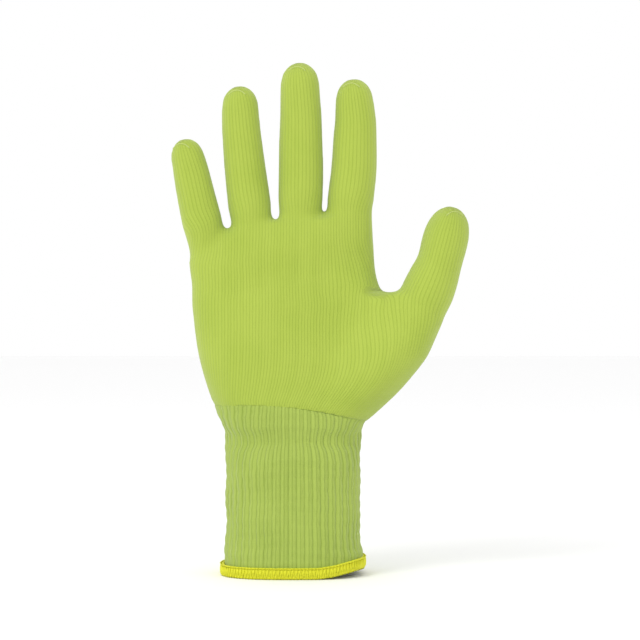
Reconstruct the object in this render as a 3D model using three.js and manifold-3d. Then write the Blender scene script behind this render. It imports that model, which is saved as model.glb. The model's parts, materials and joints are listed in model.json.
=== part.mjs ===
// A cut resistant work glove for a right hand, knitted in one piece and filled out as it is on a hand.
// Millimetres. The glove stands on its cuff: +Z runs up the fingers, the palm faces -Y, the thumb is at +X,
// and the origin is under the middle of the glove. Until it is moved there, X and Y start at the cuff's centre.
//
// A flat bed machine knits the glove as tubes that join: four finger stalls, the upper palm, the thumb stall,
// the lower palm and a ribbed cuff with elastic yarn. A three thread overlock seam then binds the cuff's edge.
// The soft tube is divided at the hand's knuckles, and each division turns about the knuckle's own axis.
// On the bending side the outer tube is relieved, and a thin rounded tongue of the next tube fills the relief.
import * as THREE from "three";
import { mergeVertices } from "three/addons/utils/BufferGeometryUtils.js";
import Module from "manifold-3d";

const wasm = await Module();
wasm.setup();

// ---- driving dimensions ----
const WALL = 1.3; // the knitted fabric
const GAP = 0.4; // between two pieces that turn against each other
const TONGUE = 0.9; // thickness of the tongue under a relief
const SOCKET_END = 2; // how far a socket is drawn past its knuckle before it is cut square
const LIP = 2.5; // length of the thicker rim that carries the tongue
const AROUND = 12; // facets round a finger
const AROUND_PALM = 24; // facets round the palm and the cuff
const MERGE = 1e-3; // vertices closer than this are one
const BARREL_FACETS = 12; // facets round a knuckle's axis
const FINGER_POWER = 2.2; // superellipse powers: 2 is an ellipse, and more is squarer
const PALM_POWER = 2.6;

// Each finger runs through its root, middle and tip knuckle to its end. half is [half width, half depth] there.
const FINGERS = {
  little: {
    at: [[-45.2, -0.5, 174.4], [-48.1, -2, 187.6], [-51.2, -4, 202.3], [-54.3, -7, 217]],
    half: [[10.2, 9.4], [9.4, 8.6], [8.9, 8], [8.2, 7.3]],
    socket: [-43, 0, 160],
    bend: [25, 85, 51],
  },
  ring: {
    at: [[-21.6, -0.5, 183], [-23.6, -2, 199.5], [-25.8, -5, 221], [-26.4, -9.5, 243]],
    half: [[10.7, 9.8], [10.3, 9.6], [9.5, 8.8], [9, 8]],
    socket: [-21, 0, 163],
    bend: [25, 90, 54],
  },
  middle: {
    at: [[3.7, -0.5, 185.5], [4, -2, 203], [3.9, -5.5, 229], [3.3, -10.5, 254.5]],
    half: [[10.9, 10], [11.2, 10], [10.2, 9.2], [9.6, 8.4]],
    socket: [3.6, 0, 165],
    bend: [25, 90, 54],
  },
  index: {
    at: [[28.6, -0.5, 185.5], [30.6, -2, 203], [31.2, -5, 226], [30, -9, 246.6]],
    half: [[11.4, 10.2], [11.4, 10.2], [10.3, 9.2], [9.3, 8.2]],
    socket: [27.6, 0, 165],
    bend: [25, 90, 54],
  },
};
const FINGER_BACK = 8; // how far a root knuckle bends backwards, in degrees

const THUMB = {
  at: [[66, -13, 139.2], [72, -15.5, 154], [79.4, -17, 182.6]],
  half: [[14.2, 12.6], [12.2, 11.2], [10.4, 9.6]],
  bend: [20, 40], // where it meets the curled fingers
  back: 10,
  side: [0.45, -0.89, 0], // its knuckles' axis: it closes across the palm and a little forwards
  base: [0.72, -0.16, 0.68], // the run of the ball of the thumb
};

// Sections of the palm from the wrist to the web, by centre, half size and rise of the right side in degrees.
const WRIST = { at: [0, 0, 72], half: [34.4, 23.2], rise: 0 };
const KNUCKLES = { at: [-5.5, 0, 152], half: [46.6, 15.4], rise: 8 };
const LOWER_PALM = [
  WRIST,
  { at: [-0.8, 0, 81], half: [37.4, 22], rise: 0 },
  { at: [-1.5, 0, 92], half: [41, 20.6], rise: 0 },
  { at: [-3, 0, 110], half: [44.6, 18.4], rise: 1 },
  { at: [-4, 0, 130], half: [46, 16.8], rise: 4 },
  KNUCKLES,
];
const UPPER_PALM = [
  KNUCKLES,
  { at: [-6.6, 0, 163], half: [46.2, 13.6], rise: 8 },
  { at: [-6.8, 0, 170], half: [45.2, 11.4], rise: 8 },
  { at: [-6.8, 0, 174.6], half: [42, 7.6], rise: 8 },
];
// The ball of the thumb, from inside the wrist to where the thumb's stall starts.
const THUMB_BALL = [
  { at: [16, -3, 80], half: [12, 12] },
  { at: [27, -5, 91], half: [18, 17] },
  { at: [41, -8, 105], half: [18.6, 17.6] },
  { at: [55.5, -11.5, 119.5], half: [17.4, 15.4] },
  { at: [63, -12.6, 132.5], half: [15.4, 13.4] },
];
const THUMB_WEB = { at: [45, -5, 126], half: [15, 11, 15.4] }; // the fold of fabric between thumb and palm
const KNUCKLE_BEND = [-8, 65];
const WRIST_BEND = [-35, 45];

const CUFF = [
  { z: 72, half: [34.4, 23.2] },
  { z: 60, half: [33.3, 23.8] },
  { z: 30, half: [33.4, 24.4] },
  { z: 12, half: [33.8, 24.8] },
  { z: 6.2, half: [35.6, 25.8] },
];
const HEM = { half: [36.4, 26.4], height: 5.4, wall: 2 };
const LIFT = { rise: 3.6, from: 12, fades: 24 }; // the hem's thumb side stands off a table
const THREAD = 0.7; // how far the seam's threads stand off the hem
const ELASTIC = { radius: 0.45, turns: 6, low: 16, high: 58, steps: 15 };

const glove = new THREE.Group();

// ---- tools ----
const X = new THREE.Vector3(1, 0, 0);
const Y = new THREE.Vector3(0, 1, 0);
const Z = new THREE.Vector3(0, 0, 1);
const vec = (p) => new THREE.Vector3(...p);
const rad = THREE.MathUtils.degToRad;

// A three.js geometry as a solid that can be joined and cut.
function solid(geometry, tolerance = 1e-4) {
  const bare = geometry.clone();
  bare.deleteAttribute("normal");
  bare.deleteAttribute("uv");
  const merged = mergeVertices(bare, tolerance);
  const made = new wasm.Mesh({
    numProp: 3,
    vertProperties: merged.attributes.position.array,
    triVerts: new Uint32Array(merged.index.array),
  });
  return new wasm.Manifold(made);
}

function surface(body) {
  const cut = body.getMesh();
  const geometry = new THREE.BufferGeometry();
  geometry.setAttribute("position", new THREE.BufferAttribute(cut.vertProperties, 3));
  geometry.setIndex(new THREE.BufferAttribute(cut.triVerts, 1));
  return geometry;
}

// The one piece that cutting leaves, without the slivers between cuts that nearly meet.
function largest(body) {
  return body.decompose().reduce((best, part) => (part.volume() > best.volume() ? part : best));
}

function mesh(name, body, material, hinge) {
  let piece = largest(body);
  for (let pass = 0; pass < 3; pass++) {
    piece = largest(solid(surface(piece).toNonIndexed(), MERGE));
  }
  const made = new THREE.Mesh(surface(piece), material);
  made.name = name;
  if (hinge) {
    made.userData = { hingeAt: hinge.at, hingeAxis: hinge.side };
  }
  glove.add(made);
}

// The point of a unit superellipse in the direction of a point of the unit circle.
function squared(c, s, power) {
  const out = (v) => Math.sign(v) * Math.abs(v) ** (2 / power);
  return [out(c), out(s)];
}

// A closed tube through sections: a cylinder whose rings are moved and sized.
// A section has at, side and back vectors, and half sizes along side and back.
function tube(sections, around, power, inset = 0) {
  const rings = sections.length - 1;
  const geometry = new THREE.CylinderGeometry(1, 1, 1, around, rings);
  const place = geometry.attributes.position;
  for (let i = 0; i < place.count; i++) {
    const section = sections[Math.round((place.getY(i) + 0.5) * rings)];
    const [across, deep] = squared(place.getZ(i), place.getX(i), power);
    const point = section.at.clone();
    point.addScaledVector(section.side, across * Math.max(0.2, section.half[0] - inset));
    point.addScaledVector(section.back, deep * Math.max(0.2, section.half[1] - inset));
    place.setXYZ(i, point.x, point.y, point.z);
  }
  return solid(geometry);
}

// The axes of a tube that runs along a direction: side is the knuckles' axis, and back faces away from the palm.
function axes(along, side) {
  const d = along.clone().normalize();
  const s = side.clone().addScaledVector(d, -side.dot(d)).normalize();
  return { along: d, side: s, back: d.clone().cross(s) };
}

function frame(hinge) {
  return new THREE.Matrix4()
    .makeBasis(hinge.side, hinge.back, hinge.along)
    .setPosition(hinge.at);
}

// A solid keeps what lies ahead of a plane through a point.
function ahead(body, normal, point, from = 0) {
  return body.trimByPlane(normal.toArray(), normal.dot(point) + from);
}

// A solid turned about a knuckle.
function turned(body, hinge, degrees) {
  const turn = new THREE.Matrix4()
    .makeTranslation(...hinge.at.toArray())
    .multiply(new THREE.Matrix4().makeRotationAxis(hinge.side, rad(degrees)))
    .multiply(new THREE.Matrix4().makeTranslation(...hinge.at.clone().negate().toArray()));
  return body.transform(turn.elements);
}

// The round body that a section makes when it turns about its knuckle's axis.
function barrel(hinge, inset, power, around) {
  const profile = [];
  for (let i = 0; i <= around / 2; i++) {
    const angle = (Math.PI * 2 * i) / around;
    const [across, deep] = squared(-Math.cos(angle), Math.sin(angle), power);
    const radius = i % (around / 2) ? deep * (hinge.half[1] - inset) : 0;
    profile.push(new THREE.Vector2(radius, across * (hinge.half[0] - inset)));
  }
  const lathe = new THREE.LatheGeometry(profile, BARREL_FACETS);
  lathe.rotateZ(-Math.PI / 2); // the lathe's axis lies along the knuckle's
  return solid(lathe.applyMatrix4(frame(hinge)));
}

// A slice round the knuckle's axis on the palm side, from just ahead of the joint to some degrees behind it.
// facing is -1 for the palm side and 1 for the back of the hand.
function slice(hinge, degrees, facing) {
  const far = hinge.half[1] * 2;
  const outline = new THREE.Shape();
  outline.moveTo(facing * GAP, 0);
  for (const angle of [-12, degrees / 2, degrees]) {
    outline.lineTo(facing * far * Math.cos(rad(angle)), -far * Math.sin(rad(angle)));
  }
  outline.closePath();
  const depth = hinge.half[0] * 2;
  const wedge = new THREE.ExtrudeGeometry(outline, { depth, bevelEnabled: false });
  wedge.translate(0, 0, -depth / 2);
  const upright = new THREE.Matrix4().makeBasis(Y, Z, X); // the outline's x, y and depth to back, along, side
  return solid(wedge.applyMatrix4(upright).applyMatrix4(frame(hinge)));
}

// How many degrees of the parent's wall a bend of this size takes away at the knuckle.
function relief(hinge, bend) {
  const b = hinge.half[1];
  const rim = Math.sqrt(2 * b * WALL); // where the turning rim has passed through the wall
  const reach = Math.max(b * Math.tan(rad(bend / 2)), Math.min(b * Math.sin(rad(bend)), rim));
  return THREE.MathUtils.radToDeg(Math.atan2(reach, b));
}

// A child tube: its wall ahead of the knuckle, a thicker rim, and a tongue under each relief of the parent.
function childOf(hinge, outer, inner, power, around, bends) {
  const inset = WALL + GAP + TONGUE;
  const wall = ahead(outer, hinge.along, hinge.at, GAP / 2);
  const throat = tube(
    [-1, LIP + 1].map((z) => ({
      ...hinge,
      at: hinge.at.clone().addScaledVector(hinge.along, z * (z < 0 ? hinge.half[1] : 1)),
    })),
    around,
    power,
    inset,
  );
  let body = wall.subtract(ahead(inner, hinge.along, hinge.at, LIP)).subtract(throat);
  for (const [bend, facing] of bends) {
    const tongue = barrel(hinge, WALL + GAP, power, around)
      .intersect(slice(hinge, relief(hinge, bend) + 4, facing))
      .subtract(barrel(hinge, inset, power, around));
    body = body.add(tongue);
  }
  return body;
}

// A parent tube behind a knuckle, relieved so that the child can turn both ways.
function parentOf(body, hinge, childOuter, limits) {
  let left = ahead(body, hinge.along.clone().negate(), hinge.at, GAP / 2);
  for (const limit of limits) {
    left = left.subtract(turned(childOuter, hinge, limit));
  }
  return left;
}

// ---- materials ----
const paint = (color, roughness) => new THREE.MeshStandardMaterial({ color, roughness, metalness: 0 });
const jersey = paint(0xb4cc4a, 0.85);
const rib = paint(0xa9c45c, 0.88);
const seam = paint(0xc8c828, 0.75);
const rubber = paint(0xe4e6d2, 0.6);

// ---- finger stalls ----
// The outer, inner and clearance bodies of one division of a finger, between two of its knuckles or to its end.
function division(from, to, side, last) {
  const way = axes(vec(to.at).sub(vec(from.at)), vec(side));
  const length = vec(to.at).distanceTo(vec(from.at));
  const run = (grow, spare) => {
    const start = { ...way, at: vec(from.at).addScaledVector(way.along, -spare), half: from.half };
    if (!last) {
      const end = { ...way, at: vec(to.at).addScaledVector(way.along, 3), half: to.half };
      return tube([start, end], AROUND, FINGER_POWER, -grow);
    }
    const round = to.half[0] * 1.15; // the length over which the tip rounds off
    const rings = [0, 0.45, 0.75, 0.93, 1].map((s) => {
      const size = Math.sqrt(1 - s * s * 0.985);
      return {
        ...way,
        at: vec(from.at).addScaledVector(way.along, length + grow - round * (1 - s)),
        half: to.half.map((h) => (h + grow) * size - grow),
      };
    });
    return tube([start, ...rings], AROUND, FINGER_POWER, -grow);
  };
  return { way, outer: run(0, 3), inner: run(-WALL, 3), clear: run(GAP, 0) };
}

// Builds a chain of divisions and returns what its socket in the palm needs: the first knuckle and its clearance.
function chain(names, points, halves, side, bends, back) {
  const knots = points.map((at, i) => ({ at, half: halves[i] }));
  const parts = names.map((_, i) => division(knots[i], knots[i + 1], side, i === names.length - 1));
  const hinges = parts.map((part, i) => ({ ...part.way, at: vec(knots[i].at), half: knots[i].half }));
  parts.forEach((part, i) => {
    const bend = bends[i];
    let body = childOf(hinges[i], part.outer, part.inner, FINGER_POWER, AROUND, [[bend, -1]]);
    if (i + 1 < parts.length) {
      const next = hinges[i + 1];
      const rim = ahead(parts[i + 1].clear, next.along, next.at, -GAP / 2);
      body = parentOf(body, next, rim, [back[i + 1], bends[i + 1]]);
    }
    mesh(names[i], body, jersey, hinges[i]);
  });
  return { hinge: hinges[0], clear: ahead(parts[0].clear, hinges[0].along, hinges[0].at, -GAP / 2) };
}

// A short socket from inside the palm to past a knuckle.
function socket(from, hinge, inset, around, power) {
  const start = { ...hinge, at: vec(from) };
  const end = { ...hinge, at: hinge.at.clone().addScaledVector(hinge.along, SOCKET_END) };
  return tube([start, end], around, power, inset);
}

// A palm with the mouth of a stall's socket cut square, and relieved so that the stall can turn both ways.
function opened(palm, { hinge, clear, limits }) {
  const ends = [-GAP / 2, SOCKET_END + 2].map((z) => hinge.at.clone().addScaledVector(hinge.along, z));
  const square = ends.map((at) => ({ ...hinge, at }));
  let left = palm.subtract(tube(square, AROUND, FINGER_POWER, -2));
  for (const limit of limits) {
    left = left.subtract(turned(clear, hinge, limit));
  }
  return left;
}

const stalls = Object.entries(FINGERS).map(([finger, { at, half, bend, socket: from }]) => {
  const names = ["root", "middle", "tip"].map((part) => `${finger}_finger_${part}`);
  const made = chain(names, at, half, [1, 0, 0], bend, [-FINGER_BACK, 0, 0]);
  return { ...made, from, limits: [-FINGER_BACK, bend[0]] };
});

const thumb = chain(
  ["thumb_root", "thumb_tip"],
  THUMB.at,
  THUMB.half,
  THUMB.side,
  THUMB.bend,
  [-THUMB.back, -THUMB.back],
);

// ---- palm ----
function palmSections(list) {
  return list.map(({ at, half, rise }) => {
    const side = X.clone().applyAxisAngle(Y, -rad(rise));
    return { at: vec(at), half, side, back: Y, along: side.clone().cross(Y) };
  });
}
const lower = palmSections(LOWER_PALM);
const upper = palmSections(UPPER_PALM);
const wrist = lower[0];
const knuckles = upper[0];
const palmTube = (list, inset) => tube(list, AROUND_PALM, PALM_POWER, inset);

// Sections carried past both ends, so that the inside of a tube opens there.
function longer(list, before, after) {
  const first = list[0];
  const last = list[list.length - 1];
  const start = { ...first, at: first.at.clone().addScaledVector(first.along, -before) };
  const end = { ...last, at: last.at.clone().addScaledVector(last.along, after) };
  return [start, ...list, end];
}

// The upper palm is knitted once the four stalls are done, and joins them at the web.
const lidOf = (list) => {
  const last = list[list.length - 1];
  return { ...last, at: last.at.clone().addScaledVector(last.along, -WALL) };
};
let web = palmTube(longer(upper, 3, 0).slice(0, -1), 0);
let inside = palmTube([...longer(upper, 3, 0).slice(0, -2), lidOf(upper)], WALL);
for (const stall of stalls) {
  web = web.add(socket(stall.from, stall.hinge, 0, AROUND, FINGER_POWER));
  inside = inside.add(socket(stall.from, stall.hinge, WALL, AROUND, FINGER_POWER));
}
let upperPalm = childOf(knuckles, web, inside, PALM_POWER, AROUND_PALM, [[KNUCKLE_BEND[1], -1]]);
for (const stall of stalls) {
  upperPalm = opened(upperPalm, stall);
}
mesh("upper_palm", upperPalm, jersey, knuckles);

// The lower palm carries the ball of the thumb and the thumb's socket.
const ballWay = axes(vec(THUMB.base), vec(THUMB.side));
const ball = THUMB_BALL.map(({ at, half }) => ({ ...ballWay, at: vec(at), half }));
function thenar(inset) {
  const fold = new THREE.SphereGeometry(1, 20, 12);
  fold.scale(...THUMB_WEB.half.map((h) => h - inset));
  fold.translate(...THUMB_WEB.at);
  const stub = { ...thumb.hinge, at: thumb.hinge.at.clone().addScaledVector(thumb.hinge.along, SOCKET_END) };
  return tube([...ball, stub], AROUND + 4, FINGER_POWER, inset).add(solid(fold));
}
const lowerOuter = palmTube(longer(lower, 3, 3), 0).add(thenar(0));
const lowerInner = palmTube(longer(lower, 3, 3), WALL).add(thenar(WALL));
const upperClear = ahead(palmTube(upper, -GAP), knuckles.along, knuckles.at, -GAP / 2);
let lowerPalm = childOf(wrist, lowerOuter, lowerInner, PALM_POWER, AROUND_PALM, [
  [WRIST_BEND[1], -1],
  [-WRIST_BEND[0], 1],
]);
lowerPalm = parentOf(lowerPalm, knuckles, upperClear, KNUCKLE_BEND);
lowerPalm = opened(lowerPalm, { ...thumb, limits: [-THUMB.back, THUMB.bend[0]] });
mesh("lower_palm", lowerPalm, jersey, wrist);

// ---- cuff ----
const cuffSections = [...CUFF].reverse().map(({ z, half }) => ({
  at: new THREE.Vector3(0, 0, z),
  half,
  side: X,
  back: Y,
  along: Z,
}));
// The cuff's edge rises towards the thumb, and the rise fades out up the cuff.
function lifted(body) {
  const geometry = surface(body);
  const place = geometry.attributes.position;
  for (let i = 0; i < place.count; i++) {
    const share = THREE.MathUtils.smoothstep(place.getX(i), LIFT.from, HEM.half[0]);
    const z = place.getZ(i);
    place.setZ(i, z + LIFT.rise * share * Math.max(0, 1 - z / LIFT.fades));
  }
  return solid(geometry);
}
const cuffShell = palmTube(longer(cuffSections, 0, 3), 0).subtract(palmTube(longer(cuffSections, 3, 6), WALL));
const palmClear = ahead(palmTube(lower, -GAP).add(thenar(-GAP)), wrist.along, wrist.at, -GAP / 2);
mesh("cuff_rib", lifted(parentOf(cuffShell, wrist, palmClear, WRIST_BEND)), rib);

// Elastic yarn laid into the cuff, against its inner face.
class Coil extends THREE.Curve {
  getPoint(t) {
    const angle = t * ELASTIC.turns * 2 * Math.PI;
    const inset = WALL + ELASTIC.radius + GAP;
    const [across, deep] = squared(Math.cos(angle), Math.sin(angle), PALM_POWER);
    const height = THREE.MathUtils.lerp(ELASTIC.low, ELASTIC.high, t);
    return new THREE.Vector3(across * (CUFF[1].half[0] - inset), deep * (CUFF[1].half[1] - inset), height);
  }
}
const yarnSection = new THREE.Shape();
yarnSection.absarc(0, 0, ELASTIC.radius, 0, 2 * Math.PI);
const yarn = new THREE.ExtrudeGeometry(yarnSection, {
  steps: ELASTIC.turns * ELASTIC.steps,
  extrudePath: new Coil(),
  curveSegments: 3,
});
mesh("cuff_elastic_yarn", solid(yarn), rubber);

// ---- hem ----
// A band round the cuff's raw edge, flat where it stands.
function band(outset, wall, low, high) {
  const rings = (grow, spare) =>
    [low - spare, high + spare].map((z) => ({
      at: new THREE.Vector3(0, 0, z),
      half: HEM.half.map((h) => h + grow),
      side: X,
      back: Y,
    }));
  return lifted(palmTube(rings(outset, 0), 0).subtract(palmTube(rings(outset - wall, 1), 0)));
}
const outside = THREAD + GAP;
mesh("hem_edge", band(0, HEM.wall, 0, HEM.height), seam);
mesh("hem_upper_looper_thread", band(outside, THREAD, 0.8, HEM.height - 0.3), seam);
mesh("hem_lower_looper_thread", band(-HEM.wall - GAP, THREAD, 0.8, HEM.height - 0.3), seam);
mesh("hem_needle_thread", band(outside, THREAD, HEM.height + 0.2, HEM.height + 1), seam);

// The origin is under the middle of the whole glove.
const middle = new THREE.Box3().setFromObject(glove).getCenter(new THREE.Vector3());
glove.position.set(-middle.x, -middle.y, 0);
export default glove;
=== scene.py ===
import json
import math

import bpy
import numpy as np
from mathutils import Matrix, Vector
from mathutils.bvhtree import BVHTree


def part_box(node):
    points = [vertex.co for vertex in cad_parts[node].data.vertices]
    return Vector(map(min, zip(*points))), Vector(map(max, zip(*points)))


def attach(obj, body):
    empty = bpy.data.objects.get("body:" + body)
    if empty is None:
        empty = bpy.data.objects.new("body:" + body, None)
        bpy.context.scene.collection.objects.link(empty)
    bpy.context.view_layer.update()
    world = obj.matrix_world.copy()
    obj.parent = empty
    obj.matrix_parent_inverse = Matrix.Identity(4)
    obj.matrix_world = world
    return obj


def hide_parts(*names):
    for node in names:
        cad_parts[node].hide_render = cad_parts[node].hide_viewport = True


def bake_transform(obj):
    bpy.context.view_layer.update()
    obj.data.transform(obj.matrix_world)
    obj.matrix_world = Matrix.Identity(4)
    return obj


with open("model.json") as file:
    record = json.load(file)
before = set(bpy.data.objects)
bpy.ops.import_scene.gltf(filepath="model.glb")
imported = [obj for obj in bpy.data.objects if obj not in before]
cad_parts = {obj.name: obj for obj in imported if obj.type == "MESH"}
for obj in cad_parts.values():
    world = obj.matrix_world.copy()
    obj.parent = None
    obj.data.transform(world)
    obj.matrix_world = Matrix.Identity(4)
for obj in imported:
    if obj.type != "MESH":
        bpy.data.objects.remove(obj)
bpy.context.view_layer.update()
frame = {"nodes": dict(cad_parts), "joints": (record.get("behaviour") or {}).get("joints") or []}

# ---------------------------------------------------------------- the jersey
# The palm, the back and the five stalls are one seamless plain knit tube of high-visibility
# yarn, knitted from the fingertips down on a glove machine. Each stall is closed at its tip,
# and the stalls join the palm at the crotches with no sewn seam.
MM = 0.001
joint = {j["name"]: j for j in frame["joints"]}


def at(name):
    return Vector(joint[name]["pos_m"])


def corners(node):
    return np.array([v.co[:] for v in frame["nodes"][node].data.vertices])


def skin(*nodes):
    """A tree of the outer and inner faces of CAD nodes, for measuring them."""
    points, faces = [], []
    for node in nodes:
        mesh = frame["nodes"][node].data
        first = len(points)
        points += [v.co.copy() for v in mesh.vertices]
        faces += [[first + i for i in p.vertices] for p in mesh.polygons]
    return BVHTree.FromPolygons(points, faces)


def spread(tree, centre, side, front, count, reach):
    """Distances from a centre to the outside of a tree's faces, all the way round."""
    out = []
    for k in range(count):
        turn = 2 * math.pi * k / count
        way = side * math.cos(turn) + front * math.sin(turn)
        far = reach(turn) if callable(reach) else reach
        hit = tree.ray_cast(centre + way * far, -way, far)[0]
        out.append((hit - centre).dot(way) if hit else np.nan)
    out = np.array(out)
    good = np.flatnonzero(~np.isnan(out))
    around = np.arange(count)
    return np.interp(around, np.r_[good[-1] - count, good, good[0] + count],
                     np.r_[out[good[-1]], out[good], out[good[0]]])


def soften(radii, along, around):
    """Evens out a table of distances along the tube and round it."""
    radii = radii.copy()
    for _ in range(along):
        inner = (radii[:-2] + 2 * radii[1:-1] + radii[2:]) / 4
        radii[1:-1] = inner
    for _ in range(around):
        radii = (np.roll(radii, 1, 1) + 2 * radii + np.roll(radii, -1, 1)) / 4
    return radii


def ease(v, a, b):
    t = np.clip((v - a) / (b - a), 0, 1)
    return t * t * (3 - 2 * t)


def made(name, points, faces):
    mesh = bpy.data.meshes.new(name)
    mesh.from_pydata([tuple(p) for p in points], [], [tuple(f) for f in faces])
    mesh.update()
    item = bpy.data.objects.new(name, mesh)
    bpy.context.collection.objects.link(item)
    return item


def tube(name, rings):
    """A closed tube through rings of points, with a pole at each end."""
    rings = np.array(rings)
    rows, cols = rings.shape[:2]
    points = [*rings.reshape(-1, 3), rings[0].mean(0), rings[-1].mean(0)]
    faces = []
    for r in range(rows - 1):
        for c in range(cols):
            d = (c + 1) % cols
            faces.append((r * cols + c, r * cols + d, (r + 1) * cols + d, (r + 1) * cols + c))
    for c in range(cols):
        d = (c + 1) % cols
        faces.append((rows * cols, d, c))
        faces.append((rows * cols + 1, (rows - 1) * cols + c, (rows - 1) * cols + d))
    return made(name, points, faces)


def ring_points(centre, side, front, radii):
    turns = np.arange(len(radii)) * 2 * math.pi / len(radii)
    return (np.array(centre) + np.outer(radii * np.cos(turns), side)
            + np.outer(radii * np.sin(turns), front))


wrist = at("wrist")
fold = at("palm_fold")
thumb_base = at("thumb_root_knuckle")
heart = wrist.lerp(thumb_base, 0.15)
RIGHT = Vector((1, 0, 0))
FRONT = Vector((0, -1, 0))
AROUND = 144  # places measured round the palm
RING_STEP = 2.5 * MM
CROTCH = thumb_base.z + 2.6 * MM
lower = skin("lower_palm", "cuff_rib")
both = skin("lower_palm", "upper_palm")


def beside(turn):
    """How far out to start measuring the upper palm, short of the thumb."""
    return min(0.1, 0.039 / max(math.cos(turn), 0.01))


low_heights = np.arange(wrist.z - 4 * MM, CROTCH - 0.4 * MM, RING_STEP)
low_radii = soften(np.array([spread(lower, Vector((heart.x, heart.y, z)), RIGHT, FRONT, AROUND, 0.1)
                             for z in low_heights]), 3, 0)
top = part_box("upper_palm")[1].z
high_heights = np.arange(CROTCH + 1.4 * MM, min(top, at("little_root_knuckle").z) - 1 * MM,
                         RING_STEP)
high_radii = soften(np.array([spread(both, Vector((heart.x, heart.y, z)), RIGHT, FRONT, AROUND, beside)
                              for z in high_heights]), 2, 0)
# The two tables are evened out together wherever the thumb isn't in the way.
whole_table = np.r_[low_radii, high_radii]
even_table = soften(whole_table, 8, 2)
from_thumb = np.minimum(np.arange(AROUND), AROUND - np.arange(AROUND)) * 360 / AROUND  # degrees
clear = np.clip((from_thumb - 16) / 20, 0, 1)
whole_table = whole_table * (1 - clear) + even_table * clear
low_radii, high_radii = whole_table[:len(low_radii)], soften(whole_table[len(low_radii):], 2, 1)
# Over the thumb's crotch the palm's side flares out into a wide curve.
flare = np.clip(1 - (high_heights - CROTCH) / (9 * MM), 0, 1) ** 2 * 3.0 * MM
near_thumb = np.clip(1.6 - from_thumb / 25, 0, 1)
high_radii += flare[:, None] * near_thumb
low_radii, high_radii = low_radii + 0.35 * MM, high_radii + 0.35 * MM
low_rings = [ring_points((heart.x, heart.y, z), RIGHT, FRONT, r)
             for z, r in zip(low_heights, low_radii)]
high_rings = [ring_points((heart.x, heart.y, z), RIGHT, FRONT, r)
              for z, r in zip(high_heights, high_radii)]
under = high_rings[0] * (1, 1, 0) + (0, 0, CROTCH - 9 * MM)
# The top of the palm rises from the little finger to the index, to the height of the crotches.
knuckles = [at(f"{n}_root_knuckle") for n in ("little", "ring", "middle", "index")]
neighbours = list(zip(knuckles, knuckles[1:]))
web_xs = [min(ring[:, 0].min() for ring in high_rings)] + [(a.x + b.x) / 2 for a, b in neighbours]
web_zs = [knuckles[0].z - 7 * MM] + [(a.z + b.z) / 2 - 8.4 * MM for a, b in neighbours]
web_xs.append(high_rings[-1][:, 0].max())
web_zs.append(knuckles[-1].z - 3 * MM)
flat_top = high_heights[-1]
rise = np.array([(z - high_heights[0]) / (flat_top - high_heights[0]) for z in high_heights])
for ring, part in zip(high_rings, rise):
    ring[:, 2] += (np.interp(ring[:, 0], web_xs, web_zs) - flat_top) * part
crown = high_rings[-1].copy()
crown[:, 1] = heart.y + (crown[:, 1] - heart.y) * 0.6
crown[:, 2] += 1.2 * MM
lumps = [tube("palm_low", low_rings), tube("palm_high", [under, *high_rings, crown])]

STALLS = ("little", "ring", "middle", "index", "thumb")
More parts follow.
